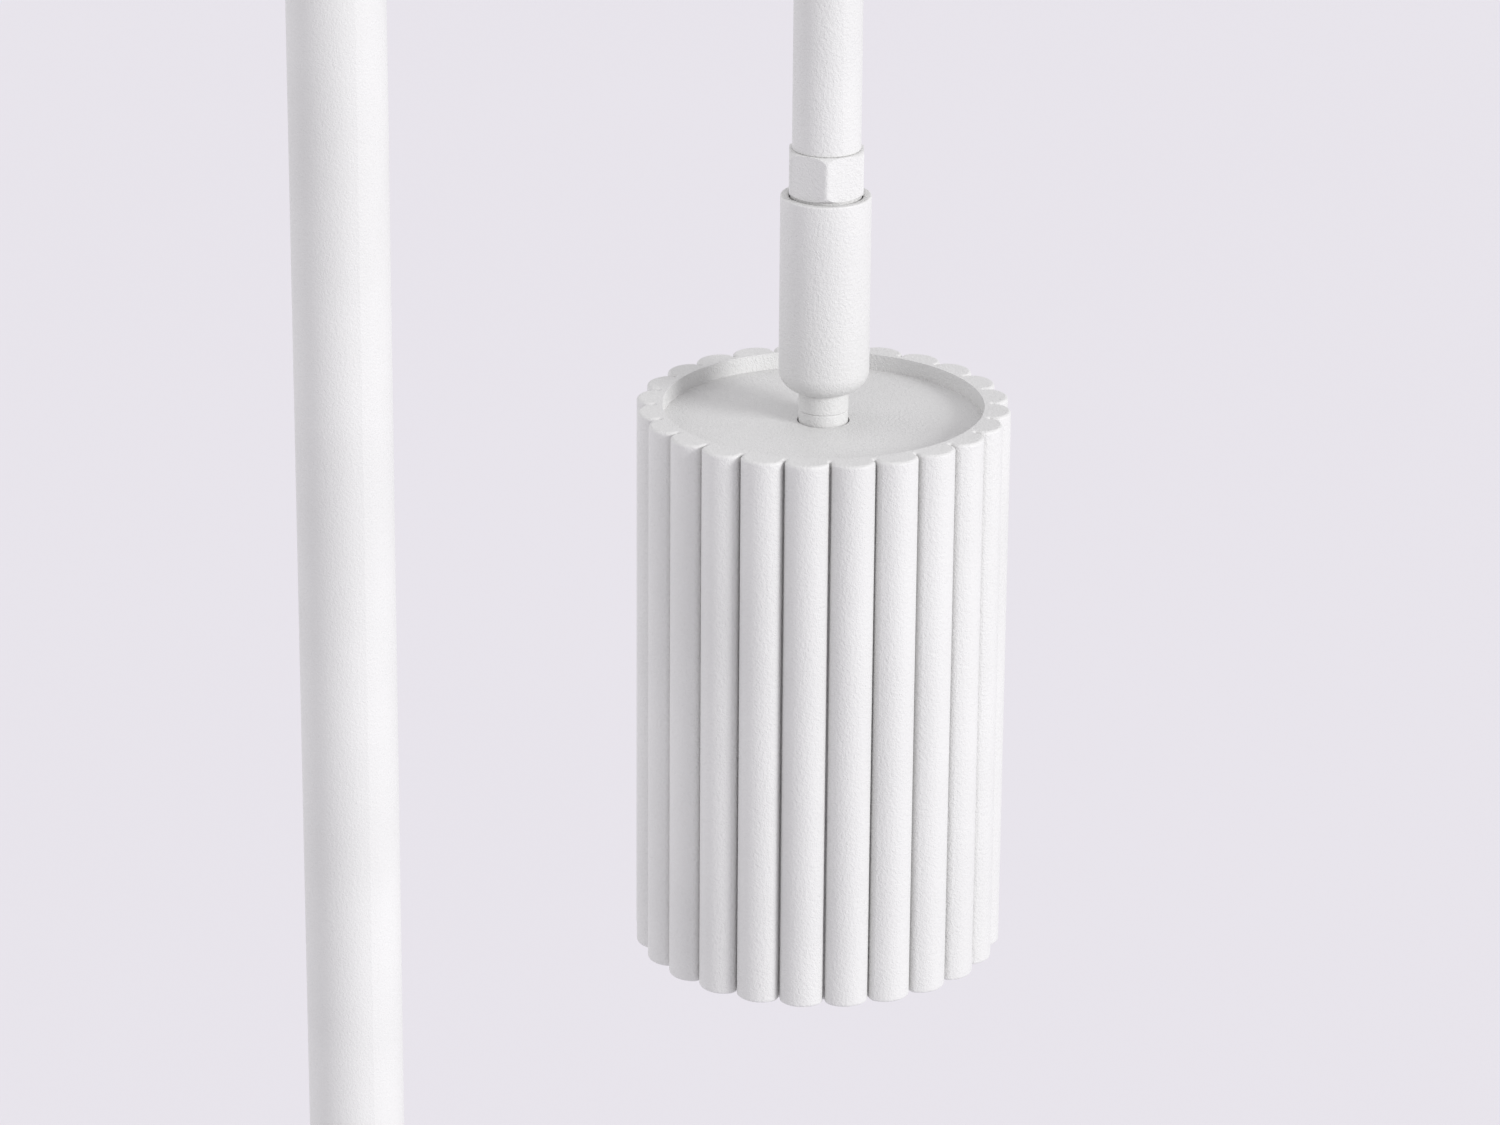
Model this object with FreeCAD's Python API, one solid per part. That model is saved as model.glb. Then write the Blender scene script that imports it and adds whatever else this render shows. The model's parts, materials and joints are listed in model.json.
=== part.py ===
"""Arc floor lamp: round base, pole, swivelling arc tube, swivel barrel and a tilting fluted shade.

Millimetres, +Z up.  The origin is the centre of the base's underside.  The pole stands on the
origin, and the arc tube reaches from it along +X and drops to the lamp head.
"""
import FreeCAD, Part
import math
import os

V = FreeCAD.Vector
UP = V(0, 0, 1)
ACROSS = V(0, 1, 0)
ALONG = V(1, 0, 0)

# ---- overall sizes ----
rim_height = 1300.0          # top edge of the shade above the floor
reach = 300.0                # pole axis to the shade's axis
base_diameter = 280.0
base_thickness = 12.0
pad_thickness = 2.0
pole_diameter = 28.0
pole_wall = 1.5
pole_seam = 700.0            # where the lower and upper pole meet
tube_diameter = 16.0
tube_wall = 1.2
tube_end_round = 0.25        # eased end that shows the seam at the hex collar
straight_drop = 87.65        # arc tube between the hex collar and the bend
straight_rise = 50.0         # arc tube between the pole's top and the bend

# ---- clearances ----
running_gap = 0.05           # shaft in a bore, per side
slip_gap = 0.02              # a piece slid or screwed into its seat, per side
face_gap = 0.05              # between faces that slide on each other
free_gap = 0.5               # between pieces that pass without touching

# ---- base fixing ----
base_edge_round = 3.0
base_recess_diameter = 40.0
base_recess_depth = 8.0
bolt_diameter = 10.0
bolt_head_flats = 17.0
bolt_head_height = 5.5
bolt_engagement = 22.0
base_washer_diameter = 30.0
base_washer_thickness = 1.8
foot_plug_length = 32.0

# ---- cord inlet in the pole ----
inlet_height = 72.0
inlet_hole = 9.0
grommet_flange = 13.0
grommet_lip = 1.2
lead_diameter = 5.4
lead_bend_radius = 9.0

# ---- pole joints and the arc's swivel ----
coupler_length = 80.0
coupler_bore = 18.0
set_screw_diameter = 4.0
collar_height = 12.0
collar_spigot = 18.0
collar_edge_round = 2.0
bush_wall = 1.95
upper_bush_recess = 0.6
arc_spigot_depth = 70.0      # length of arc tube inside the pole
lower_bush_length = 15.0
stop_tooth_height = 5.0
stop_tooth_half_angle = 4.0
stop_lug_half_angle = 5.0
stop_ring_wall = 1.6
stop_ring_height = 4.5
grip_screw_diameter = 2.0

# ---- hex collar and swivel stud, heights from the shade's rim ----
hex_over_tube = 1.2          # hexagon across flats, more than the tube
hex_top = 62.35
hex_top_step = 0.3           # collar's round upper end, wider than the tube, per side
hex_neck_step = 0.6          # hexagon across flats down to the round neck
hex_neck_end = 46.5
hex_foot_round = 1.85
hex_edge_round = 1.3
hex_skirt = 0.4              # plain neck showing between the rounded hexagon and the sleeve
hex_turn = -26.2             # direction of one corner, degrees from +X
collar_plug_length = 15.0
stud_diameter = 10.0
stud_bore = 7.0
stud_low = 32.5
swivel_nut_flats = 12.0
swivel_nut_height = 5.0
spring_washer_thickness = 1.0
thrust_washer_thickness = 1.0
thrust_washer_rim = 1.1
stop_pin_diameter = 1.6
stop_pin_reach = 3.2

# ---- swivel sleeve and core ----
sleeve_wall = 1.95
sleeve_bottom = 3.6
sleeve_top = 51.15
sleeve_mouth_gap = 0.35
sleeve_foot_round = 5.2
sleeve_edge_round = 0.4
sleeve_floor = 3.0
core_flange_height = 6.0
core_groove_depth = 2.6
core_groove_wall = 0.4
sleeve_screw_diameter = 2.5
core_rib_half_angle = 4.0
ear_gap = 10.0               # between the core's two ears
ear_round_gap = 0.5          # neck's shoulder to the ears' round ends
pivot_height = 15.5
pivot_diameter = 4.0
friction_washer_thickness = 0.5
friction_washer_diameter = 9.0

# ---- neck and hanging hardware ----
neck_diameter = 11.75
neck_ear_thickness = 1.8
neck_eye_radius = 5.4
neck_shoulder_drop = 7.5     # pivot to the neck's shoulder
neck_seam = -1.15
neck_seam_round = 0.25       # eased edges that show the seam between the neck and its ring
neck_ring_step = 0.15        # ring's diameter, less than the neck
nipple_diameter = 8.0
nipple_bore = 5.5
nipple_high = 5.0
plate_washer_diameter = 18.0
plate_washer_thickness = 1.0
nut_flats = 13.0
nut_height = 4.5

# ---- shade ----
shade_height = 135.5
shade_diameter = 88.0        # over the crests of the flutes
flute_count = 24
flute_depth = 4.5            # crest down to the valley's floor
flute_pitch = math.pi * shade_diameter / flute_count
crest_front_radius = 0.521 * flute_pitch
crest_shoulder_radius = 0.208 * flute_pitch
valley_radius = 0.3
shade_wall = 1.15            # between the bore and the valleys
shade_ledge = 0.6            # ledge over the top plate, per side
shade_edge_round = 0.8
recess_depth = 4.0           # rim down to the top plate
flute_turn = -16.95          # direction of one crest, degrees from +X
plate_thickness = 3.0
plate_counterbore_gap = 0.38 # round the neck's ring, per side
plate_counterbore_depth = 2.0
snap_ring_depth = 0.45
snap_ring_height = 1.6
snap_ring_width = 2.2
snap_ring_gap_angle = 12.0

# ---- lampholder and bulb ----
bracket_width = 14.0
bracket_span = 30.0
bracket_thickness = 1.5
bracket_drop = 26.0
holder_diameter = 27.0
holder_height = 20.0
holder_lead_hole = 6.0
holder_edge_round = 1.0
holder_screw_diameter = 3.0
bulb_length = 53.0
bulb_diameter = 50.0
bulb_neck_diameter = 27.0
bulb_neck_length = 10.0
bulb_rim_height = 8.0
bulb_lens_diameter = 46.0
bulb_lens_thickness = 2.0
bulb_fin_count = 18
bulb_fin_gap = 2.2
bulb_fin_depth = 2.4
bulb_pin_spacing = 10.0
bulb_pin_diameter = 2.5
bulb_pin_head = 5.0
bulb_pin_length = 7.0
head_lead_diameter = 1.9

# ---- worked out ----
arc_spring_height = rim_height + hex_top + straight_drop
pole_top = arc_spring_height - straight_rise
bush_outer = tube_diameter + 2 * (running_gap + bush_wall)
hex_flats = tube_diameter + hex_over_tube
hex_neck_diameter = hex_flats - hex_neck_step
hex_corner = hex_flats / math.sqrt(3) - hex_edge_round * (2 / math.sqrt(3) - 1)
hex_top_round = hex_corner - tube_diameter / 2 - hex_top_step
base_low = pad_thickness
base_high = pad_thickness + base_thickness
pole_bore = pole_diameter - 2 * pole_wall
tube_bore = tube_diameter - 2 * tube_wall
arc_radius = reach / 2
arc_low = pole_top - arc_spigot_depth
sleeve_bore = hex_neck_diameter + 2 * sleeve_mouth_gap
sleeve_diameter = sleeve_bore + 2 * sleeve_wall
core_diameter = sleeve_bore - 2 * slip_gap
ear_round = neck_shoulder_drop - ear_round_gap
neck_ring_diameter = neck_diameter - neck_ring_step
plate_counterbore = neck_ring_diameter + 2 * plate_counterbore_gap
valley_floor = shade_diameter / 2 - flute_depth
shade_bore = 2 * (valley_floor - shade_wall)
shade_opening = shade_bore - 2 * shade_ledge
thrust_top = hex_neck_end - 2 * face_gap
core_high = thrust_top - thrust_washer_thickness
core_flange_low = core_high - core_flange_height
spring_washer_top = core_flange_low - 2 * face_gap
swivel_nut_top = spring_washer_top - spring_washer_thickness
nut_corner = swivel_nut_flats / math.sqrt(3)
core_cavity_radius = nut_corner + 0.4
core_cavity_low = swivel_nut_top - swivel_nut_height - 3.0
plate_top = -recess_depth
plate_low = plate_top - plate_thickness
plate_washer_low = plate_low - plate_washer_thickness
plate_nut_low = plate_washer_low - nut_height
bracket_low = plate_nut_low - bracket_thickness
bracket_nut_low = bracket_low - nut_height
nipple_low = bracket_nut_low - 1.0
holder_high = bracket_nut_low - 3.0
holder_low = holder_high - holder_height
bulb_low = holder_low - bulb_length


def cylinder(radius, low, high, x=0.0, y=0.0):
    """Upright cylinder between two heights."""
    return Part.makeCylinder(radius, high - low, V(x, y, low))


def rod(radius, start, end):
    """Cylinder between any two points."""
    run = end - start
    return Part.makeCylinder(radius, run.Length, start, run)


def tube(outer, inner, low, high, x=0.0):
    """Upright tube given by its two radii."""
    return cylinder(outer, low, high, x).cut(cylinder(inner, low - 1, high + 1, x))


def box(x_range, y_range, z_range):
    """Box given by its limits along each axis."""
    size = [limits[1] - limits[0] for limits in (x_range, y_range, z_range)]
    return Part.makeBox(*size, V(x_range[0], y_range[0], z_range[0]))


def hexagon(flats, low, high, x=0.0, corner_angle=0.0):
    """Upright hexagonal bar with one corner pointing along corner_angle, in degrees."""
    radius = flats / math.sqrt(3)
    points = []
    for side in range(7):
        angle = math.radians(corner_angle + 60 * side)
        points.append(V(x + radius * math.cos(angle), radius * math.sin(angle), low))
    return Part.Face(Part.makePolygon(points)).extrude(V(0, 0, high - low))


def turned(points, x=0.0):
    """Solid of revolution about the upright axis at x, from (radius, height) points."""
    outline = [V(x + radius, 0, height) for radius, height in points]
    face = Part.Face(Part.makePolygon(outline + outline[:1]))
    return face.revolve(V(x, 0, 0), UP, 360)


def sector(outer, inner, low, high, middle, half_angle, x=0.0):
    """Part of an upright ring, centred on the angle `middle`, in degrees."""
    size = 2 * half_angle
    wedge = Part.makeCylinder(outer, high - low, V(x, 0, low), UP, size)
    hollow = Part.makeCylinder(inner, high - low + 2, V(x, 0, low - 1), UP, 360)
    piece = wedge.cut(hollow)
    piece.rotate(V(x, 0, 0), UP, middle - half_angle)
    return piece


def round_edges(shape, radius, height, centre_x=0.0, least_radius=0.0):
    """Fillet the level circular edges at one height that lie outside least_radius."""
    chosen = []
    for edge in shape.Edges:
        if not isinstance(edge.Curve, Part.Circle):
            continue
        centre = edge.Curve.Center
        level = abs(centre.z - height) < 0.01 and abs(abs(edge.Curve.Axis.z) - 1) < 0.001
        if level and abs(centre.x - centre_x) < 0.01 and edge.Curve.Radius > least_radius:
            chosen.append(edge)
    return shape.makeFillet(radius, chosen)


def at_head(shape):
    """Move a piece drawn about the shade's axis, with the rim at height 0, to its place."""
    shape.translate(V(reach, 0, rim_height))
    return shape


def level_edges(shape):
    """Edges that lie flat, at one height."""
    return [edge for edge in shape.Edges if edge.BoundBox.ZLength < 0.001]


def upright_edges(shape):
    """Straight edges that stand upright."""
    return [edge for edge in shape.Edges if abs(edge.BoundBox.ZLength - edge.Length) < 0.001]


def save(name, shape):
    """Write one closed node to its own file."""
    if not shape.isValid():
        raise ValueError(name + " is not a valid solid")
    shape.exportStep("parts/" + name + ".step")
    print(name, round(shape.Volume, 1), "mm3")


# ---------------------------------------------------------------- stand

def base_plate():
    """Heavy disc with a rounded upper edge and a recess under its centre for the bolt."""
    disc = cylinder(base_diameter / 2, base_low, base_high)
    disc = round_edges(disc, base_edge_round, base_high)
    recess = cylinder(base_recess_diameter / 2, base_low - 1, base_low + base_recess_depth)
    hole = cylinder(bolt_diameter / 2 + free_gap, base_low, base_high + 1)
    return disc.cut(recess).cut(hole)


def base_pad():
    """Thin anti-slip disc under the whole base."""
    return cylinder(base_diameter / 2 - base_edge_round, 0, pad_thickness)


def base_washer():
    high = base_low + base_recess_depth
    inner = bolt_diameter / 2 + running_gap
    return tube(base_washer_diameter / 2, inner, high - base_washer_thickness, high)


def base_bolt():
    """Hexagon-head bolt from under the base up into the pole's foot plug."""
    head_high = base_low + base_recess_depth - base_washer_thickness
    head = hexagon(bolt_head_flats, head_high - bolt_head_height, head_high)
    shank = cylinder(bolt_diameter / 2, head_high - 1, base_high + bolt_engagement)
    return head.fuse(shank)


def pole_foot_plug():
    """Threaded plug inside the pole's lower end."""
    plug = cylinder(pole_bore / 2 - slip_gap, base_high, base_high + foot_plug_length)
    hole = cylinder(bolt_diameter / 2 + slip_gap, base_high - 1, base_high + bolt_engagement + 2)
    return plug.cut(hole)


def back_hole(radius, height):
    """Cutter for a level hole through the side of the pole that faces away from the arc."""
    return rod(radius, V(-pole_diameter, 0, height), V(0, 0, height))


def coupler_screw_heights():
    quarter = coupler_length / 4
    return (pole_seam - quarter, pole_seam + quarter)


def pole_lower():
    pipe = tube(pole_diameter / 2, pole_bore / 2, base_high, pole_seam)
    pipe = pipe.cut(back_hole(inlet_hole / 2, inlet_height))
    return pipe.cut(back_hole(set_screw_diameter / 2 + slip_gap, coupler_screw_heights()[0]))


def pole_coupler():
    """Sleeve inside the pole that joins its two lengths."""
    low = pole_seam - coupler_length / 2
    high = pole_seam + coupler_length / 2
    sleeve = tube(pole_bore / 2 - slip_gap, coupler_bore / 2, low, high)
    for height in coupler_screw_heights():
        sleeve = sleeve.cut(back_hole(set_screw_diameter / 2 + slip_gap, height))
    return sleeve


def set_screw(height, outer, inner):
    """Headless screw with a socket, lying level on the side away from the arc."""
    screw = rod(set_screw_diameter / 2, V(-outer, 0, height), V(-inner, 0, height))
    socket = rod(set_screw_diameter / 4, V(-outer - 1, 0, height), V(-outer + 1.2, 0, height))
    return screw.cut(socket)


def coupler_screws():
    outer = pole_diameter / 2 - 0.2
    inner = coupler_bore / 2
    return Part.makeCompound([set_screw(height, outer, inner) for height in coupler_screw_heights()])


def lower_bush_high():
    return arc_low + lower_bush_length


def pole_upper():
    pipe = tube(pole_diameter / 2, pole_bore / 2, pole_seam, pole_top)
    pipe = pipe.cut(back_hole(set_screw_diameter / 2 + slip_gap, coupler_screw_heights()[1]))
    return pipe.cut(back_hole(set_screw_diameter / 2 + slip_gap, arc_low + lower_bush_length / 2))


def lower_bush():
    """Bearing inside the pole that carries the arc tube, with a tooth that stops its turn."""
    outer = pole_bore / 2 - slip_gap
    inner = tube_diameter / 2 + running_gap
    ring = tube(outer, inner, arc_low, lower_bush_high())
    tooth_inner = tube_diameter / 2 + stop_ring_wall + 0.4
    tooth = sector(outer, tooth_inner, lower_bush_high() - 1, lower_bush_high() + stop_tooth_height,
                   180, stop_tooth_half_angle)
    screw_hole = back_hole(set_screw_diameter / 2 + slip_gap, arc_low + lower_bush_length / 2)
    return ring.fuse(tooth).cut(screw_hole).removeSplitter()


def lower_bush_screw():
    outer = pole_diameter / 2 - 0.2
    inner = tube_diameter / 2 + 1.0
    return set_screw(arc_low + lower_bush_length / 2, outer, inner)


def pole_top_collar():
    """Cap on the pole that the arc tube turns in."""
    head = cylinder(pole_diameter / 2, pole_top, pole_top + collar_height)
    head = round_edges(head, collar_edge_round, pole_top + collar_height)
    spigot = cylinder(pole_bore / 2 - slip_gap, pole_top - collar_spigot, pole_top + 1)
    bore = cylinder(bush_outer / 2 + slip_gap, pole_top - collar_spigot - 1, pole_top + collar_height + 1)
    screw_hole = back_hole(set_screw_diameter / 2 + slip_gap, pole_top + collar_height / 2)
    return head.fuse(spigot).cut(bore).cut(screw_hole).removeSplitter()


def upper_bush():
    low = pole_top - collar_spigot
    high = pole_top + collar_height - upper_bush_recess
    return tube(bush_outer / 2, tube_diameter / 2 + running_gap, low, high)


def arc_friction_screw():
    """Screw that presses the bush on the arc tube and so sets the swivel's stiffness."""
    return set_screw(pole_top + collar_height / 2, pole_diameter / 2 - 0.3, bush_outer / 2 + slip_gap)


def cord_inlet_grommet():
    """Flanged grommet in the back of the pole, near the base."""
    inner = pole_bore / 2 - grommet_lip
    outer = pole_diameter / 2 + grommet_lip
    body = rod(inlet_hole / 2 - slip_gap, V(-outer, 0, inlet_height), V(-inner, 0, inlet_height))
    flange = rod(grommet_flange / 2, V(-outer, 0, inlet_height), V(0, 0, inlet_height))
    lip = rod(inlet_hole / 2 + 0.8, V(-pole_bore / 2, 0, inlet_height), V(-inner, 0, inlet_height))
    lip = lip.common(cylinder(pole_bore / 2, inlet_height - grommet_flange, inlet_height + grommet_flange))
    flange = flange.cut(cylinder(pole_diameter / 2, inlet_height - grommet_flange, inlet_height + grommet_flange))
    hole = rod(lead_diameter / 2 + slip_gap, V(-outer - 1, 0, inlet_height), V(0, 0, inlet_height))
    return body.fuse(flange).fuse(lip).cut(hole)


def swept_lead(radius, path_edges):
    """Round lead along a chain of tangent runs and arcs, checked against section times length."""
    path = Part.Wire(path_edges)
    start = path_edges[0].valueAt(path_edges[0].FirstParameter)
    heading = path_edges[0].tangentAt(path_edges[0].FirstParameter)
    section = Part.Wire(Part.makeCircle(radius, start, heading))
    lead = path.makePipeShell([section], True, True)
    expected = math.pi * radius ** 2 * path.Length
    print("lead length", round(path.Length, 1), "mm, volume ratio", round(lead.Volume / expected, 4))
    return lead


def run(start, end):
    return Part.LineSegment(start, end).toShape()


def bend(start, middle, end):
    return Part.Arc(start, middle, end).toShape()


def lead_in_stand():
    """Lead from the inlet, round one bend and up the pole to the arc tube's lower end."""
    radius = lead_bend_radius
    start = V(-pole_bore / 2, 0, inlet_height)
    bend_start = V(-radius, 0, inlet_height)
    slope = radius * math.sqrt(0.5)
    bend_middle = V(-radius + slope, 0, inlet_height + radius - slope)
    bend_end = V(0, 0, inlet_height + radius)
    top = V(0, 0, arc_low - free_gap)
    return swept_lead(lead_diameter / 2, [run(start, bend_start), bend(bend_start, bend_middle, bend_end),
                                          run(bend_end, top)])


# ---------------------------------------------------------------- arc

def arc_middle_line(low, drop_low):
    """Straight rise, half circle and straight drop of the arc's centre line."""
    rise_end = V(0, 0, arc_spring_height)
    crown = V(arc_radius, 0, arc_spring_height + arc_radius)
    drop_start = V(reach, 0, arc_spring_height)
    return [run(V(0, 0, low), rise_end), bend(rise_end, crown, drop_start),
            run(drop_start, V(reach, 0, drop_low))]


def bent_bar(radius, low, drop_low):
    """Solid round bar along the arc: two straight lengths and half a torus."""
    rise = cylinder(radius, low, arc_spring_height)
    drop = cylinder(radius, drop_low, arc_spring_height, reach)
    section = Part.Face(Part.Wire(Part.makeCircle(radius, V(0, 0, arc_spring_height), UP)))
    crown = section.revolve(V(arc_radius, 0, arc_spring_height), ACROSS, 180)
    return rise.fuse([crown, drop])


def arc_tube():
    """One bent tube from inside the pole, over the arc and down to the hex collar."""
    tube_end = rim_height + hex_top
    outside = bent_bar(tube_diameter / 2, arc_low, tube_end)
    outside = round_edges(outside, tube_end_round, tube_end, reach)
    inside = bent_bar(tube_bore / 2, arc_low - 1, tube_end - 1)
    return outside.cut(inside)


def stop_ring_low():
    return lower_bush_high() + face_gap


def arc_stop_ring():
    """Ring gripped on the arc tube; it rests on the lower bush and its lug meets the tooth."""
    low = stop_ring_low()
    outer = tube_diameter / 2 + stop_ring_wall
    ring = tube(outer, tube_diameter / 2 + slip_gap, low, low + stop_ring_height)
    lug = sector(pole_bore / 2 - 0.4, outer - 0.5, low, low + stop_ring_height, 0, stop_lug_half_angle)
    hole = rod(grip_screw_diameter / 2 + slip_gap, V(0, 0, low + stop_ring_height / 2),
               V(pole_bore, 0, low + stop_ring_height / 2))
    return ring.fuse(lug).cut(hole).removeSplitter()


def stop_ring_screw():
    middle = stop_ring_low() + stop_ring_height / 2
    return rod(grip_screw_diameter / 2, V(tube_diameter / 2 + slip_gap, 0, middle),
               V(pole_bore / 2 - 0.6, 0, middle))


def hex_collar():
    """Hexagonal end piece of the arc tube, turned round at the tube and where it enters the sleeve."""
    round_start = sleeve_top + hex_skirt
    hexagonal = hexagon(hex_flats, round_start, hex_top, corner_angle=hex_turn)
    hexagonal = hexagonal.makeFillet(hex_edge_round, upright_edges(hexagonal))
    turned_blank = cylinder(hex_corner, round_start, hex_top)
    turned_blank = round_edges(turned_blank, hex_foot_round, round_start)
    turned_blank = round_edges(turned_blank, hex_top_round, hex_top)
    body = hexagonal.common(turned_blank)
    body = body.fuse(cylinder(hex_neck_diameter / 2, hex_neck_end, round_start + 0.5))
    body = body.fuse(cylinder(tube_bore / 2 - slip_gap, hex_top - 1, hex_top + collar_plug_length))
    bore = cylinder(stud_diameter / 2 + slip_gap, hex_neck_end - 1, hex_top + collar_plug_length + 1)
    pin_hole = cylinder(stop_pin_diameter / 2 + slip_gap, hex_neck_end - 1, hex_neck_end + stop_pin_reach,
                        stop_pin_offset())
    return at_head(body.cut(bore).cut(pin_hole).removeSplitter())


def swivel_stud():
    """Hollow threaded stud that the barrel hangs and turns on."""
    return at_head(tube(stud_diameter / 2, stud_bore / 2, stud_low, hex_top + collar_plug_length - 1))


def swivel_nut():
    nut = hexagon(swivel_nut_flats, swivel_nut_top - swivel_nut_height, swivel_nut_top)
    hole = cylinder(stud_diameter / 2 + slip_gap, swivel_nut_top - swivel_nut_height - 1, swivel_nut_top + 1)
    return at_head(nut.cut(hole))


def spring_washer():
    outer = nut_corner - 0.2
    return at_head(tube(outer, stud_diameter / 2 + slip_gap, swivel_nut_top, spring_washer_top))


def groove_inner():
    return stud_diameter / 2 + thrust_washer_rim


def groove_outer():
    return core_diameter / 2 - core_groove_wall


def stop_pin_offset():
    """The pan stop pin runs along the middle of the core's groove."""
    return (groove_inner() + groove_outer()) / 2


def pan_stop_pin():
    low = core_high - core_groove_depth + 0.4
    return at_head(cylinder(stop_pin_diameter / 2, low, hex_neck_end + stop_pin_reach - 0.2, stop_pin_offset()))


def lead_in_arc():
    """Lead from the arc tube's lower end to the end of the swivel stud."""
    path = arc_middle_line(arc_low, rim_height + stud_low)
    return swept_lead(lead_diameter / 2, path)


# ---------------------------------------------------------------- barrel

def swivel_sleeve():
    """Plain round sleeve with a rounded foot, slotted towards the pole for the neck's tilt."""
    outer = sleeve_diameter / 2
    body = cylinder(outer, sleeve_bottom, sleeve_top)
    body = round_edges(body, sleeve_foot_round, sleeve_bottom)
    bore = cylinder(sleeve_bore / 2, sleeve_bottom + sleeve_floor, sleeve_top + 1)
    body = body.cut(bore)
    body = round_edges(body, sleeve_edge_round, sleeve_top)
    half_width = neck_diameter / 2 + 0.3
    mouth = cylinder(half_width, sleeve_bottom - 1, sleeve_bottom + sleeve_floor + 1)
    slot = box((-outer - 1, 0), (-half_width, half_width), (sleeve_bottom - 1, pivot_height))
    slot_end = rod(half_width, V(-outer - 1, 0, pivot_height), V(0, 0, pivot_height))
    screw_hole = rod(sleeve_screw_diameter / 2 + slip_gap, V(-outer - 1, 0, sleeve_screw_height()),
                     V(0, 0, sleeve_screw_height()))
    cutter = mouth.fuse([slot, slot_end])
    return at_head(body.cut(cutter).cut(screw_hole))


def sleeve_screw_height():
    return (core_flange_low + core_high - core_groove_depth) / 2


def swivel_core():
    """Turned core inside the sleeve: a flange on the stud and two ears for the tilt pivot."""
    outer = core_diameter / 2
    body = cylinder(outer, pivot_height, core_high)
    eye = rod(ear_round, V(0, -outer, pivot_height), V(0, outer, pivot_height))
    body = body.fuse(eye.common(cylinder(outer, pivot_height - ear_round - 1, pivot_height + ear_round)))
    body = body.cut(cylinder(stud_diameter / 2 + running_gap, 0, core_high + 1))
    body = body.cut(cylinder(core_cavity_radius, core_cavity_low, core_flange_low))
    half_gap = ear_gap / 2
    body = body.cut(box((-outer - 1, outer + 1), (-half_gap, half_gap),
                        (pivot_height - ear_round - 1, core_cavity_low)))
    groove = sector(groove_outer(), groove_inner(), core_high - core_groove_depth, core_high + 1,
                    0, 180 - core_rib_half_angle)
    body = body.cut(groove)
    pivot_hole = rod(pivot_diameter / 2 + slip_gap, V(0, -outer - 1, pivot_height), V(0, outer + 1, pivot_height))
    screw_hole = rod(sleeve_screw_diameter / 2 + slip_gap, V(-outer - 1, 0, sleeve_screw_height()),
                     V(0, 0, sleeve_screw_height()))
    return at_head(body.cut(pivot_hole).cut(screw_hole))


def sleeve_screw():
    screw = rod(sleeve_screw_diameter / 2, V(-sleeve_diameter / 2 + 0.3, 0, sleeve_screw_height()),
                V(-stud_diameter / 2 - 1.0, 0, sleeve_screw_height()))
    socket = rod(sleeve_screw_diameter / 4, V(-sleeve_diameter / 2, 0, sleeve_screw_height()),
                 V(-sleeve_diameter / 2 + 1.5, 0, sleeve_screw_height()))
    return at_head(screw.cut(socket))


def thrust_washer():
    inner = stud_diameter / 2 + running_gap
    return at_head(tube(groove_inner(), inner, core_high, thrust_top))


def washer_inner_face():
    return ear_gap / 2 - face_gap - friction_washer_thickness


def neck_ear_outer():
    return washer_inner_face() - face_gap


def pivot_screws():
    """Two short shoulder screws on one axis, so that the leads pass between them."""
    screws = []
    for side in (-1, 1):
        start = V(0, side * (neck_ear_outer() - neck_ear_thickness), pivot_height)
        end = V(0, side * (core_diameter / 2 - 0.6), pivot_height)
        screws.append(rod(pivot_diameter / 2, start, end))
    return at_head(Part.makeCompound(screws))


# ---------------------------------------------------------------- head

def neck():
    """Round neck under the sleeve, forked at the top round the tilt pivot."""
    shoulder = pivot_height - neck_shoulder_drop
    stem = cylinder(neck_diameter / 2, neck_seam, shoulder)
    ears = box((-neck_eye_radius, neck_eye_radius), (-neck_ear_outer(), neck_ear_outer()),
               (shoulder - 1, pivot_height))
    eye = rod(neck_eye_radius, V(0, -neck_ear_outer(), pivot_height), V(0, neck_ear_outer(), pivot_height))
    ears = ears.common(cylinder(neck_diameter / 2, shoulder - 1, pivot_height)).fuse(eye)
    gap = neck_ear_outer() - neck_ear_thickness
    slot = box((-neck_diameter, neck_diameter), (-gap, gap), (shoulder, pivot_height + neck_diameter))
    body = stem.fuse(ears).cut(slot)
    body = round_edges(body, neck_seam_round, neck_seam)
    body = body.cut(cylinder(nipple_diameter / 2 + slip_gap, neck_seam - 1, nipple_high))
    body = body.cut(cylinder(nipple_bore / 2, neck_seam, pivot_height))
    hole = rod(pivot_diameter / 2 + running_gap, V(0, -neck_diameter, pivot_height),
               V(0, neck_diameter, pivot_height))
    return at_head(body.cut(hole).removeSplitter())


def friction_washers():
    washers = []
    for side in (-1, 1):
        start = V(0, side * washer_inner_face(), pivot_height)
        end = V(0, side * (washer_inner_face() + friction_washer_thickness), pivot_height)
        disc = rod(friction_washer_diameter / 2, start, end)
        hole = rod(pivot_diameter / 2 + running_gap, start - ACROSS * side, end + ACROSS * side)
        washers.append(disc.cut(hole))
    return at_head(Part.makeCompound(washers))


def neck_ring():
    """Spacer between the neck and the floor of the top plate's counterbore."""
    low = plate_top - plate_counterbore_depth
    ring = round_edges(cylinder(neck_ring_diameter / 2, low, neck_seam), neck_seam_round, neck_seam)
    return at_head(ring.cut(cylinder(nipple_diameter / 2 + slip_gap, low - 1, neck_seam + 1)))


def nipple():
    """Hollow threaded tube from the neck through the top plate to the lampholder's bracket."""
    return at_head(tube(nipple_diameter / 2, nipple_bore / 2, nipple_low, nipple_high))


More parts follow.
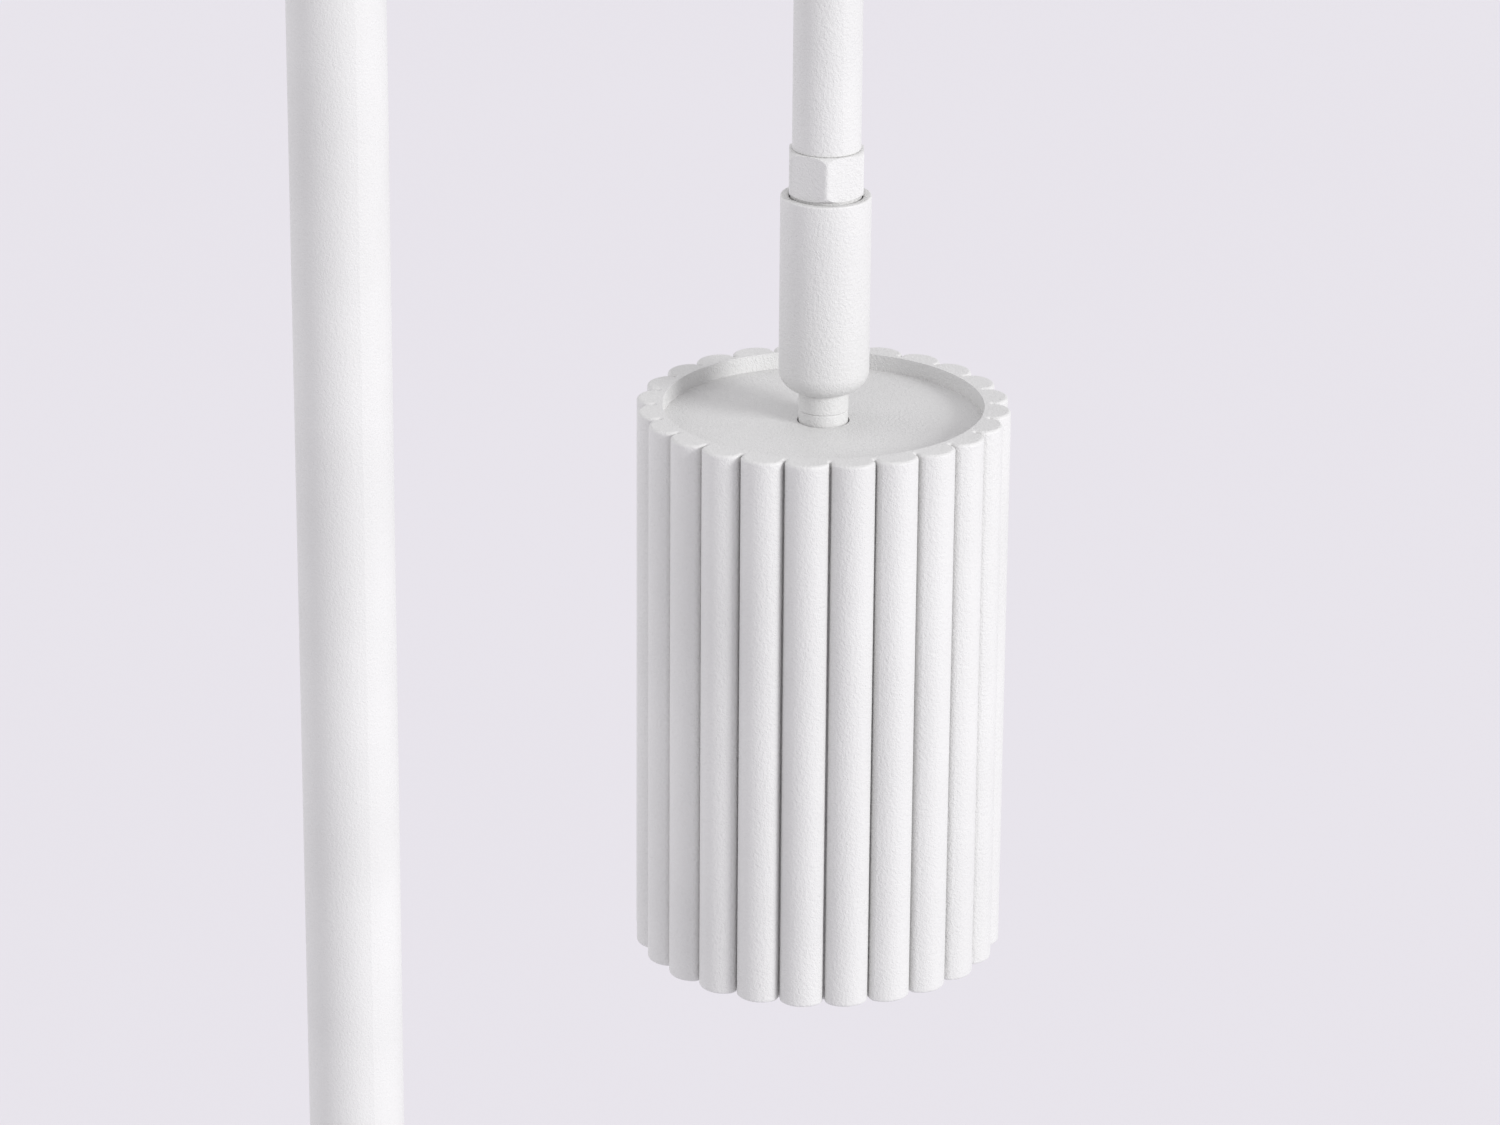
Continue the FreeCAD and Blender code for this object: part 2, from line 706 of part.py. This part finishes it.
def top_plate():
    """Disc that closes the shade's top, seated against a ledge in the shade."""
    disc = cylinder(shade_bore / 2 - slip_gap, plate_low, plate_top)
    seat = cylinder(plate_counterbore / 2, plate_top - plate_counterbore_depth, plate_top + 1)
    hole = cylinder(nipple_diameter / 2 + slip_gap, plate_low - 1, plate_top)
    return at_head(disc.cut(seat).cut(hole))


def plate_washer():
    return at_head(tube(plate_washer_diameter / 2, nipple_diameter / 2 + slip_gap, plate_washer_low, plate_low))


def nipple_nut(low):
    nut = hexagon(nut_flats, low, low + nut_height)
    return nut.cut(cylinder(nipple_diameter / 2 + slip_gap, low - 1, low + nut_height + 1))


def plate_nut():
    return at_head(nipple_nut(plate_nut_low))


def bracket_nut():
    return at_head(nipple_nut(bracket_nut_low))


def towards(start, target, reach):
    """Point on the line from start to target, at a distance from start."""
    return start + (target - start) * (reach / (target - start).Length)


def meeting_point(first, first_reach, second, second_reach):
    """Level point at one distance from `first` and another from `second`, left of the way between."""
    gap = (second - first).Length
    along = (first_reach ** 2 - second_reach ** 2 + gap ** 2) / (2 * gap)
    aside = math.sqrt(first_reach ** 2 - along ** 2)
    way = (second - first) * (1 / gap)
    return first + way * along + UP.cross(way) * aside


def fluted_outline(height):
    """Closed wire round the flutes: front and shoulder arcs on each crest, small arcs in the valleys."""
    half_pitch = math.pi / flute_count
    outward = V(math.cos(half_pitch), math.sin(half_pitch), 0)
    front = V(shade_diameter / 2 - crest_front_radius, 0, 0)
    valley = outward * (valley_floor + valley_radius)
    shoulder = meeting_point(valley, crest_shoulder_radius + valley_radius,
                             front, crest_front_radius - crest_shoulder_radius)
    front_end = towards(front, shoulder, crest_front_radius)
    shoulder_end = towards(valley, shoulder, valley_radius)
    shoulder_middle = towards(shoulder, (front_end + shoulder_end) * 0.5, crest_shoulder_radius)
    half_crest = (front_end, shoulder_middle, shoulder_end)
    other_half = [V(point.x, -point.y, 0) for point in half_crest]
    one_pitch = FreeCAD.Rotation(UP, 360 / flute_count)
    next_half = [one_pitch.multVec(point) for point in reversed(other_half)]
    arcs = [(other_half[0], V(shade_diameter / 2, 0, 0), front_end), half_crest,
            (shoulder_end, outward * valley_floor, next_half[0]), next_half]
    edges = []
    for flute in range(flute_count):
        turn = FreeCAD.Rotation(UP, 360 * flute / flute_count)
        for arc in arcs:
            edges.append(bend(*[turn.multVec(point) + UP * height for point in arc]))
    return Part.Wire(edges)


def shade():
    """Fluted tube with eased ends, a ledge for the top plate and a groove for its snap ring."""
    body = Part.Face(fluted_outline(-shade_height)).extrude(V(0, 0, shade_height))
    body = body.makeFillet(shade_edge_round, level_edges(body))
    body = body.cut(cylinder(shade_opening / 2, plate_top - 1, 1))
    body = body.cut(cylinder(shade_bore / 2, -shade_height - 1, plate_top))
    groove_radius = shade_bore / 2 + snap_ring_depth
    body = body.cut(cylinder(groove_radius, plate_low - snap_ring_height - slip_gap, plate_low))
    body.rotate(V(0, 0, 0), UP, flute_turn)
    return at_head(body)


def snap_ring():
    outer = shade_bore / 2 + snap_ring_depth - slip_gap
    half_angle = 180 - snap_ring_gap_angle / 2
    return at_head(sector(outer, outer - snap_ring_width, plate_low - snap_ring_height, plate_low,
                          0, half_angle))


def holder_bracket():
    """Bent strip under the top plate that carries the lampholder."""
    half_span = bracket_span / 2
    half_width = bracket_width / 2
    outer = half_span + bracket_thickness
    low = bracket_low - bracket_drop
    web = box((-outer, outer), (-half_width, half_width), (bracket_low, plate_nut_low))
    legs = [box((-outer, -half_span), (-half_width, half_width), (low, bracket_low)),
            box((half_span, outer), (-half_width, half_width), (low, bracket_low))]
    body = web.fuse(legs)
    body = body.cut(cylinder(nipple_diameter / 2 + slip_gap, bracket_low - 1, plate_nut_low + 1))
    screw_radius = holder_screw_diameter / 2 + slip_gap
    body = body.cut(rod(screw_radius, V(-outer - 1, 0, holder_screw_height()),
                        V(outer + 1, 0, holder_screw_height())))
    return at_head(body.removeSplitter())


def holder_screw_height():
    return (holder_high + bracket_low - bracket_drop) / 2


def lampholder():
    """Round ceramic holder with two keyhole sockets and a hole for the leads."""
    radius = holder_diameter / 2
    body = cylinder(radius, holder_low, holder_high)
    body = body.makeFillet(holder_edge_round, level_edges(body))
    for side in (-1, 1):
        pad_range = sorted((side * (radius - 3), side * bracket_span / 2))
        pad = box(pad_range, (-bracket_width / 2, bracket_width / 2), (holder_low + 4, holder_high - 1))
        body = body.fuse(pad)
        start = V(side * (bracket_span / 2 - 6), 0, holder_screw_height())
        body = body.cut(rod(holder_screw_diameter / 2 + slip_gap, start, start + ALONG * side * 7))
    for side in (-1, 1):
        offset = side * bulb_pin_spacing / 2
        socket = cylinder(bulb_pin_head / 2 + 0.3, holder_low - 1, holder_low + bulb_pin_length + 1, 0, offset)
        body = body.cut(socket)
    lead_hole = cylinder(holder_lead_hole / 2, holder_high - 8, holder_high + 1)
    return at_head(body.cut(lead_hole).removeSplitter())


def holder_screws():
    screws = []
    outer = bracket_span / 2 + bracket_thickness
    for side in (-1, 1):
        tip = V(side * (bracket_span / 2 - 5), 0, holder_screw_height())
        under_head = V(side * outer, 0, holder_screw_height())
        shank = rod(holder_screw_diameter / 2, tip, under_head + ALONG * side * 0.5)
        head = rod(holder_screw_diameter, under_head, under_head + ALONG * side * 1.8)
        screws.append(shank.fuse(head).removeSplitter())
    return at_head(Part.makeCompound(screws))


def bulb_body():
    """Reflector bulb: narrow base, flared bowl with cooling grooves, and a seat for the lens."""
    neck_radius = bulb_neck_diameter / 2
    rim_radius = bulb_diameter / 2
    seat_radius = bulb_lens_diameter / 2 + slip_gap
    neck_low = holder_low - bulb_neck_length
    bowl_low = bulb_low + bulb_rim_height
    points = [(0, holder_low), (neck_radius, holder_low), (neck_radius, neck_low),
              (rim_radius, bowl_low), (rim_radius, bulb_low), (seat_radius, bulb_low),
              (seat_radius, bulb_low + bulb_lens_thickness), (0, bulb_low + bulb_lens_thickness)]
    body = turned(points)
    slope_start = V(neck_radius - bulb_fin_depth, 0, neck_low)
    slope_end = V(rim_radius - bulb_fin_depth, 0, bowl_low)
    outside = V(rim_radius + bulb_fin_depth, 0, 0)
    corners = [slope_start, slope_end, V(outside.x, 0, bowl_low), V(outside.x, 0, neck_low), slope_start]
    groove = Part.Face(Part.makePolygon(corners)).extrude(V(0, bulb_fin_gap, 0))
    groove.translate(V(0, -bulb_fin_gap / 2, 0))
    for fin in range(bulb_fin_count):
        cutter = groove.copy()
        cutter.rotate(V(0, 0, 0), UP, 360 * fin / bulb_fin_count)
        body = body.cut(cutter)
    return at_head(body)


def bulb_lens():
    return at_head(cylinder(bulb_lens_diameter / 2, bulb_low + 0.4, bulb_low + bulb_lens_thickness))


def bulb_pins():
    """Two contact pins with wide feet that turn into the lampholder."""
    pins = []
    for side in (-1, 1):
        offset = side * bulb_pin_spacing / 2
        shank = cylinder(bulb_pin_diameter / 2, holder_low, holder_low + bulb_pin_length, 0, offset)
        foot = cylinder(bulb_pin_head / 2, holder_low + bulb_pin_length - 2, holder_low + bulb_pin_length, 0, offset)
        pins.append(shank.fuse(foot).removeSplitter())
    return at_head(Part.makeCompound(pins))


def head_leads():
    """Two insulated leads from the neck through the nipple into the lampholder."""
    leads = []
    for side in (-1, 1):
        offset = side * (head_lead_diameter / 2 + 0.1)
        low = holder_high - 7
        leads.append(cylinder(head_lead_diameter / 2, low, pivot_height - neck_shoulder_drop, offset))
    return at_head(Part.makeCompound(leads))


nodes = [base_plate, base_pad, base_washer, base_bolt, pole_foot_plug, cord_inlet_grommet, pole_lower,
         pole_coupler, coupler_screws, pole_upper, lower_bush, lower_bush_screw, pole_top_collar,
         upper_bush, arc_friction_screw, lead_in_stand,
         arc_tube, arc_stop_ring, stop_ring_screw, hex_collar, swivel_stud, swivel_nut, spring_washer,
         pan_stop_pin, lead_in_arc,
         swivel_sleeve, swivel_core, thrust_washer, sleeve_screw, pivot_screws,
         neck, friction_washers, neck_ring, nipple, top_plate, plate_washer, plate_nut, bracket_nut,
         shade, snap_ring, holder_bracket, lampholder, holder_screws, bulb_body, bulb_lens, bulb_pins,
         head_leads]

os.makedirs("parts", exist_ok=True)
for node in nodes:
    save(node.__name__, node())
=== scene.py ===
"""Studio view of the arc floor lamp: its coats and bulb, the camera, soft light and a plain floor."""

import json
import math

import bpy
from mathutils import Matrix, Vector


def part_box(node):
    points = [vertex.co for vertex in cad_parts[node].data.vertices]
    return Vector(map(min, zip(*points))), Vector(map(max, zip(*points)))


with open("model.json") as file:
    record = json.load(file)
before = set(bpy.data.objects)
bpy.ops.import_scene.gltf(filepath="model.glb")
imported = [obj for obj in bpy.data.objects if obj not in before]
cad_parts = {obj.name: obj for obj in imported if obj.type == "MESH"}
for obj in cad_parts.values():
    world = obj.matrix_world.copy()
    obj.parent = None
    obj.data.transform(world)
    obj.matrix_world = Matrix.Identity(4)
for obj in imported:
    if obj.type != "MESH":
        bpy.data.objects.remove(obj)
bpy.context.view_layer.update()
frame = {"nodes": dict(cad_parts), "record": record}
scene = bpy.context.scene

MM = 0.001

# ---- camera, placed from the middle of the shade's upper rim ----
VIEW_AZIMUTH = 63.8          # degrees, 0 looks along +Y
CAMERA_BACK = 1279 * MM
CAMERA_UP = 449.9 * MM
CAMERA_SIDE = -16.9 * MM
CAMERA_PITCH = 20.96         # degrees below level
CAMERA_ROLL = 0.45           # degrees
CAMERA_LENS = 138.95         # mm
CAMERA_SENSOR = 36.0         # mm

# ---- coat ----
COAT_COLOUR = (0.70, 0.70, 0.695)
COAT_GRAIN_DEPTH = 0.36 * MM

# ---- studio ----
FLOOR_COLOUR = (0.775, 0.757, 0.797)
FLOOR_RADIUS = 16.0
SKY_COLOUR = (1.0, 0.985, 1.01)
SKY_STRENGTH = 0.74
KEY_STRENGTH = 2.1
KEY_SPREAD = 20.0            # degrees across, as seen from the lamp
KEY_AROUND = 55.0            # degrees to the right of the camera's own direction
KEY_RISE = 20.0              # degrees above level
RIM_STRENGTH = 0.55          # weak light from behind on the left
RIM_SPREAD = 40.0
RIM_AROUND = 255.0
RIM_RISE = 25.0


# ---------------------------------------------------------------- shader maths

class Value:
    """The output of a node, which takes part in Python arithmetic."""

    def __init__(self, finish, output):
        self.finish = finish
        self.output = output

    def math(self, operation, *terms):
        return self.finish.node("Math", {"operation": operation}, dict(enumerate(terms)))

    def __add__(self, other):
        return self.math("ADD", self, other)

    __radd__ = __add__

    def __sub__(self, other):
        return self.math("SUBTRACT", self, other)

    def __rsub__(self, other):
        return self.math("SUBTRACT", other, self)

    def __mul__(self, other):
        return self.math("MULTIPLY", self, other)

    __rmul__ = __mul__

    def __pow__(self, other):
        return self.math("POWER", self, other)


class Finish:
    """A material being made."""

    def __init__(self, name):
        self.material = bpy.data.materials.new(name)
        self.material.use_nodes = True
        self.tree = self.material.node_tree
        self.tree.nodes.clear()

    def node(self, kind, settings=None, sockets=None, output=0):
        """Adds one node: settings first, then each socket's value or link, by name or number."""
        made = self.tree.nodes.new("ShaderNode" + kind)
        for name, value in (settings or {}).items():
            setattr(made, name, value)
        for key, value in (sockets or {}).items():
            socket = made.inputs[key]
            if isinstance(value, Value):
                self.tree.links.new(value.output, socket)
            else:
                socket.default_value = value
        if made.outputs:
            return Value(self, made.outputs[output])

    def place(self):
        """Position on the piece, in metres."""
        return self.node("TexCoord", output="Object")

    def stretched(self, x, y, z):
        """Position scaled differently along each axis, for marks that run one way."""
        return self.node("VectorMath", {"operation": "MULTIPLY"}, {0: self.place(), 1: (x, y, z)})

    def noise(self, scale, detail=2.0, roughness=0.5, place=None):
        return self.node("TexNoise", None, {"Vector": place or self.place(), "Scale": scale,
                                            "Detail": detail, "Roughness": roughness})

    def rise(self, value, low, high, to_low=0.0, to_high=1.0):
        """Goes from to_low to to_high as the value goes from low to high."""
        return self.node("MapRange", None, {"Value": value, "From Min": low, "From Max": high,
                                            "To Min": to_low, "To Max": to_high})

    def blend(self, factor, first, second):
        """Mix of two colours."""
        return self.node("Mix", {"data_type": "RGBA"}, {0: factor, 6: first, 7: second}, output=2)

    def edge_mask(self, radius):
        """1 on sharp corners within about `radius`, 0 elsewhere."""
        soft = self.node("Bevel", {"samples": 4}, {"Radius": radius})
        true = self.node("NewGeometry", output="Normal")
        turn = self.node("VectorMath", {"operation": "DOT_PRODUCT"}, {0: soft, 1: true}, output="Value")
        return self.rise(turn, 0.995, 0.90)

    def hollow_mask(self, distance):
        """1 deep in grooves and corners, 0 on open faces."""
        open_part = self.node("AmbientOcclusion", {"samples": 8}, {"Distance": distance}, output="AO")
        return self.rise(open_part, 0.9, 0.35)

    def bump(self, height, distance, strength=1.0, under=None):
        sockets = {"Height": height, "Distance": distance, "Strength": strength}
        if under:
            sockets["Normal"] = under
        return self.node("Bump", None, sockets)

    def done(self, sockets):
        """Closes the material with one Principled shader."""
        shader = self.node("BsdfPrincipled", None, sockets)
        self.node("OutputMaterial", None, {"Surface": shader})
        return self.material


# ---------------------------------------------------------------- finishes

def powder_coat(name, colour, grain=1.0):
    """White polyester powder coat: fine orange peel, faint cloudiness, sharp corners lightened as a
    painted highlight and grooves darkened as painted shade.
    """
    coat = Finish(name)
    peel = coat.noise(1300, 3.0, 0.6)
    pimples = coat.noise(3000, 1.0, 0.5)
    cloud = coat.noise(24, 3.0, 0.5)
    specks = coat.rise(coat.noise(760, 1.0), 0.72, 0.78)
    corner_highlight = coat.edge_mask(0.35 * MM)
    # grooves and corners: darkened in colour as painted shade, and made rougher
    hollow_shade = coat.hollow_mask(2.5 * MM)
    dull = tuple(part * 0.955 for part in colour) + (1,)
    highlight_colour = tuple(min(part * 1.02, 1) for part in colour) + (1,)
    tint = coat.blend(coat.rise(cloud, 0.35, 0.65), dull, colour + (1,))
    # painted highlight: sharp corners lightened
    tint = coat.blend(corner_highlight * 0.5, tint, highlight_colour)
    # painted shade: colour darkened in grooves and corners from ambient occlusion
    tint = coat.blend(hollow_shade * 0.10, tint, (0.62, 0.60, 0.57, 1))
    tint = coat.blend(specks * 0.10, tint, (0.55, 0.54, 0.52, 1))
    relief = peel * 0.7 + pimples * 0.3
    return coat.done({
        "Base Color": tint,
        "Roughness": coat.rise(peel * 0.5 + cloud * 0.5, 0.3, 0.7, 0.50, 0.40) + hollow_shade * 0.15,
        "Specular IOR Level": 0.45,
        "Normal": coat.bump(relief, COAT_GRAIN_DEPTH * grain)})


def bare_metal(name, colour, roughness, marks=(1, 1, 30)):
    """Plated or turned metal with fine machining marks."""
    metal = Finish(name)
    lines = metal.noise(320, 3.0, 0.6, metal.stretched(*marks))
    stain = metal.noise(60, 3.0, 0.6)
    corner_highlight = metal.edge_mask(0.3 * MM)
    dark = tuple(part * 0.78 for part in colour) + (1,)
    tint = metal.blend(metal.rise(stain, 0.35, 0.65), dark, colour + (1,))
    # painted highlight: sharp corners lightened
    tint = metal.blend(corner_highlight * 0.5, tint, tuple(min(part * 1.25, 1) for part in colour) + (1,))
    return metal.done({
        "Base Color": tint,
        "Metallic": 1.0,
        "Roughness": metal.rise(lines, 0.3, 0.7, roughness * 0.8, roughness * 1.25),
        "Normal": metal.bump(lines, 0.02 * MM)})


def moulded(name, colour, roughness, grain_scale, grain_depth, translucent=0.0):
    """Moulded plastic, rubber or fired clay with a fine surface grain."""
    body = Finish(name)
    grain = body.noise(grain_scale, 3.0, 0.6)
    cloud = body.noise(35, 2.0)
    corner_highlight = body.edge_mask(0.3 * MM)
    dark = tuple(part * 0.88 for part in colour) + (1,)
    tint = body.blend(body.rise(cloud, 0.35, 0.65), dark, colour + (1,))
    # painted highlight: sharp corners lightened
    tint = body.blend(corner_highlight * 0.35, tint, tuple(min(part * 1.15 + 0.01, 1) for part in colour) + (1,))
    sockets = {
        "Base Color": tint,
        "Roughness": body.rise(grain, 0.3, 0.7, roughness * 0.9, min(roughness * 1.12, 1)),
        "Normal": body.bump(grain, grain_depth)}
    if translucent:
        sockets["Subsurface Weight"] = translucent
        sockets["Subsurface Radius"] = (1.0 * MM, 1.0 * MM, 1.0 * MM)
    return body.done(sockets)


finishes = {
    "stand_coat": powder_coat("stand_coat", COAT_COLOUR, 0.8),
    "arm_coat": powder_coat("arm_coat", COAT_COLOUR),
    "shade_coat": powder_coat("shade_coat", COAT_COLOUR),
    "plated_steel": bare_metal("plated_steel", (0.66, 0.66, 0.67), 0.30),
    "turned_steel": bare_metal("turned_steel", (0.52, 0.52, 0.53), 0.36, (1, 1, 60)),
    "nylon": moulded("nylon", (0.80, 0.79, 0.74), 0.45, 1500, 0.02 * MM, 0.1),
    "black_rubber": moulded("black_rubber", (0.030, 0.030, 0.031), 0.62, 1600, 0.05 * MM),
    "foot_pad": moulded("foot_pad", (0.055, 0.055, 0.057), 0.85, 900, 0.25 * MM),
    "lead_sheath": moulded("lead_sheath", (0.78, 0.78, 0.77), 0.42, 900, 0.03 * MM),
    "lead_insulation": moulded("lead_insulation", (0.70, 0.70, 0.71), 0.35, 900, 0.02 * MM),
    "porcelain": moulded("porcelain", (0.84, 0.82, 0.77), 0.55, 2200, 0.03 * MM),
    "bulb_shell": moulded("bulb_shell", (0.84, 0.84, 0.83), 0.38, 1800, 0.03 * MM),
    "bulb_lens": moulded("bulb_lens", (0.88, 0.88, 0.86), 0.48, 2400, 0.04 * MM, 0.15),
    "nickel": bare_metal("nickel", (0.72, 0.69, 0.62), 0.22),
}


def dress_nodes():
    """Gives each CAD node the finish of its own material slot."""
    slot_of = {part["node"]: part["material_slot"] for part in frame["record"]["subparts"]}
    for name, piece in frame["nodes"].items():
        for place in piece.material_slots:
            place.material = finishes[slot_of[name]]


# ---------------------------------------------------------------- studio

def middle(node):
    low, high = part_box(node)
    return (Vector(low) + Vector(high)) / 2


def view_directions():
    """Level directions to the camera's right and away from it."""
    azimuth = math.radians(VIEW_AZIMUTH)
    right = Vector((math.cos(azimuth), math.sin(azimuth), 0))
    away = Vector((-math.sin(azimuth), math.cos(azimuth), 0))
    return right, away


def add_camera():
    right, away = view_directions()
    rim = middle("shade")
    rim.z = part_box("shade")[1][2]
    camera = bpy.data.objects.new("camera", bpy.data.cameras.new("camera"))
    scene.collection.objects.link(camera)
    camera.data.lens = CAMERA_LENS
    camera.data.sensor_width = CAMERA_SENSOR
    camera.data.clip_start = 0.05
    camera.data.clip_end = 60
    camera.location = rim + right * CAMERA_SIDE - away * CAMERA_BACK + Vector((0, 0, CAMERA_UP))
    pitch = math.radians(CAMERA_PITCH)
    look = away * math.cos(pitch) - Vector((0, 0, math.sin(pitch)))
    top = right.cross(look)
    turn = Matrix((right, top, -look)).transposed()
    roll = Matrix.Rotation(math.radians(CAMERA_ROLL), 3, "Z")
    camera.rotation_euler = (turn @ roll).to_euler()
    scene.camera = camera


def add_floor():
    mesh = bpy.data.meshes.new("floor")
    corners = [(x * FLOOR_RADIUS, y * FLOOR_RADIUS, 0) for x, y in ((-1, -1), (1, -1), (1, 1), (-1, 1))]
    mesh.from_pydata(corners, [], [(0, 1, 2, 3)])
    floor = bpy.data.objects.new("floor", mesh)
    scene.collection.objects.link(floor)
    paint = Finish("floor_paint")
    cloud = paint.rise(paint.noise(1.1, 3.0), 0.3, 0.7)
    tint = paint.blend(cloud, tuple(part * 0.995 for part in FLOOR_COLOUR) + (1,), FLOOR_COLOUR + (1,))
    mesh.materials.append(paint.done({"Base Color": tint, "Roughness": 0.9, "Specular IOR Level": 0.1}))


def add_distant_light(name, strength, spread, around, rise):
    """Far lamp `spread` degrees wide, `around` degrees right of the camera and `rise` above level."""
    right, away = view_directions()
    around, rise = math.radians(around), math.radians(rise)
    towards = (right * math.sin(around) - away * math.cos(around)) * math.cos(rise)
    towards.z = math.sin(rise)
    lamp = bpy.data.objects.new(name, bpy.data.lights.new(name, "SUN"))
    lamp.data.energy = strength
    lamp.data.angle = math.radians(spread)
    lamp.rotation_euler = towards.to_track_quat("Z", "Y").to_euler()
    scene.collection.objects.link(lamp)


def add_light():
    """Even pale surroundings, a soft key from the right and a weak rim from the back left."""
    world = bpy.data.worlds.new("surroundings")
    world.use_nodes = True
    background = world.node_tree.nodes["Background"]
    background.inputs["Color"].default_value = SKY_COLOUR + (1,)
    background.inputs["Strength"].default_value = SKY_STRENGTH
    scene.world = world
    add_distant_light("key", KEY_STRENGTH, KEY_SPREAD, KEY_AROUND, KEY_RISE)
    add_distant_light("rim", RIM_STRENGTH, RIM_SPREAD, RIM_AROUND, RIM_RISE)


add_camera()
scene.view_settings.view_transform = "Standard"
dress_nodes()
add_floor()
add_light()
